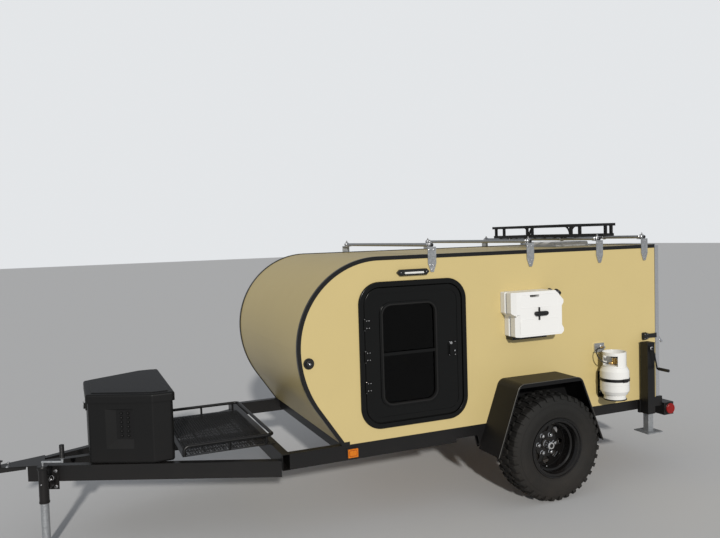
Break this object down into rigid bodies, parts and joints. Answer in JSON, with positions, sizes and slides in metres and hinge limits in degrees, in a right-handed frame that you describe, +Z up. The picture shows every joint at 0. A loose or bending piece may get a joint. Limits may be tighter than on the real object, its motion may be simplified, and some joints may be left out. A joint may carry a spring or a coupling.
{
  "type": "teardrop camping trailer",
  "caption": "Squareback teardrop camping trailer with side doors, rear galley hatch, tongue box, roof basket, off-road tyres, tongue jack and corner jacks.",
  "frame": {"origin": "on the ground under the middle of the whole trailer", "axes": "+X towards the rear, +Z up, -Y to the trailer's left side"},
  "size_m": [5.14, 2.128, 1.956],
  "materials": {
    "frame_black": "semi-gloss powder coat",
    "body_tan": "satin paint",
    "galvanised": "dull zinc",
    "aluminium": "mill finish",
    "black_plastic": "moulded, fine grain",
    "white_plastic": "moulded",
    "black_trim": "satin",
    "chrome": "bright",
    "tyre": "rubber",
    "rubber": "matt",
    "plywood": "clear varnish",
    "cloth": "woven",
    "glass": "tinted",
    "red_lens": "clear lens",
    "amber_lens": "clear lens",
    "lamp_white": "frosted lens",
    "bottle_white": "gloss paint"
  },
  "bodies": {
    "trailer": {"axle_beam": "frame_black", "bottle_bracket": "frame_black", "coupler": "frame_black", "crossmembers": "frame_black", "door_bumpers": "rubber", "door_frames": "black_trim", "edge_trim": "black_trim", "fenders": "frame_black", "floor": "plywood", "front_deck": "frame_black", "galley": "plywood", "gas_bottle": "bottle_white", "gas_hose": "rubber", "jack_bracket": "frame_black", "leaf_springs": "frame_black", "marker_lamps": "amber_lens", "mattress": "cloth", "outlet_plate": "galvanised", "pack_lock": "black_plastic", "porch_lights": "lamp_white", "rear_bumper": "frame_black", "rear_jack_cranks": "frame_black", "rear_jack_tubes": "frame_black", "roof_and_front": "body_tan", "roof_bars": "galvanised", "roof_basket": "frame_black", "roof_brackets": "galvanised", "roof_vent": "white_plastic", "side_latches": "black_plastic", "side_rails": "frame_black", "side_wall_left": "body_tan", "side_wall_right": "body_tan", "tail_lamps": "red_lens", "tongue_box": "black_plastic", "tongue_rails": "frame_black", "water_packs": "white_plastic"},
    "wheel_left": {"tyre_left": "tyre", "rim_left": "frame_black", "hub_left": "chrome"},
    "wheel_right": {"tyre_right": "tyre", "rim_right": "frame_black", "hub_right": "chrome"},
    "door_leaf_left": {"door_left": "black_trim", "glass_left": "glass"},
    "door_leaf_right": {"door_right": "black_trim", "glass_right": "glass"},
    "rear_hatch": {"hatch": "body_tan", "hatch_edging": "aluminium", "hatch_handles": "black_plastic"},
    "box_lid": {"tongue_box_lid": "black_plastic"},
    "tongue_jack": {"jack_tube": "frame_black", "jack_crank": "galvanised"},
    "tongue_jack_leg": {"jack_leg": "galvanised"},
    "rear_jack_leg_left": {"rear_leg_left": "galvanised"},
    "rear_jack_leg_right": {"rear_leg_right": "galvanised"}
  },
  "joints": [
    {"name": "wheel_left_spin", "type": "hinge", "parent": "trailer", "child": "wheel_left", "pos_m": [1.198, -0.942, 0.38], "axis": [0, 1, 0], "continuous": true},
    {"name": "wheel_right_spin", "type": "hinge", "parent": "trailer", "child": "wheel_right", "pos_m": [1.198, 0.942, 0.38], "axis": [0, 1, 0], "continuous": true},
    {"name": "door_left_hinge", "type": "hinge", "parent": "trailer", "child": "door_leaf_left", "pos_m": [-0.143, -0.803, 1.1155], "axis": [0, 0, -1], "range_deg": [0, 170]},
    {"name": "door_right_hinge", "type": "hinge", "parent": "trailer", "child": "door_leaf_right", "pos_m": [-0.143, 0.803, 1.1155], "axis": [0, 0, 1], "range_deg": [0, 170]},
    {"name": "hatch_hinge", "type": "hinge", "parent": "trailer", "child": "rear_hatch", "pos_m": [2.394, 0, 1.776], "axis": [0, -1, 0], "range_deg": [0, 95]},
    {"name": "box_lid_hinge", "type": "hinge", "parent": "trailer", "child": "box_lid", "pos_m": [-1.319, 0, 0.902], "axis": [0, 1, 0], "range_deg": [0, 90]},
    {"name": "tongue_jack_swivel", "type": "hinge", "parent": "trailer", "child": "tongue_jack", "pos_m": [-2.1155, -0.20428, 0.403], "axis": [-0.4226, -0.9063, 0], "range_deg": [0, 90]},
    {"name": "tongue_jack_slide", "type": "slide", "parent": "tongue_jack", "child": "tongue_jack_leg", "axis": [0, 0, 1], "range_m": [-0.06, 0.068]},
    {"name": "rear_jack_left_slide", "type": "slide", "parent": "trailer", "child": "rear_jack_leg_left", "axis": [0, 0, -1], "range_m": [0, 0.29]},
    {"name": "rear_jack_right_slide", "type": "slide", "parent": "trailer", "child": "rear_jack_leg_right", "axis": [0, 0, -1], "range_m": [0, 0.29]}
  ]
}
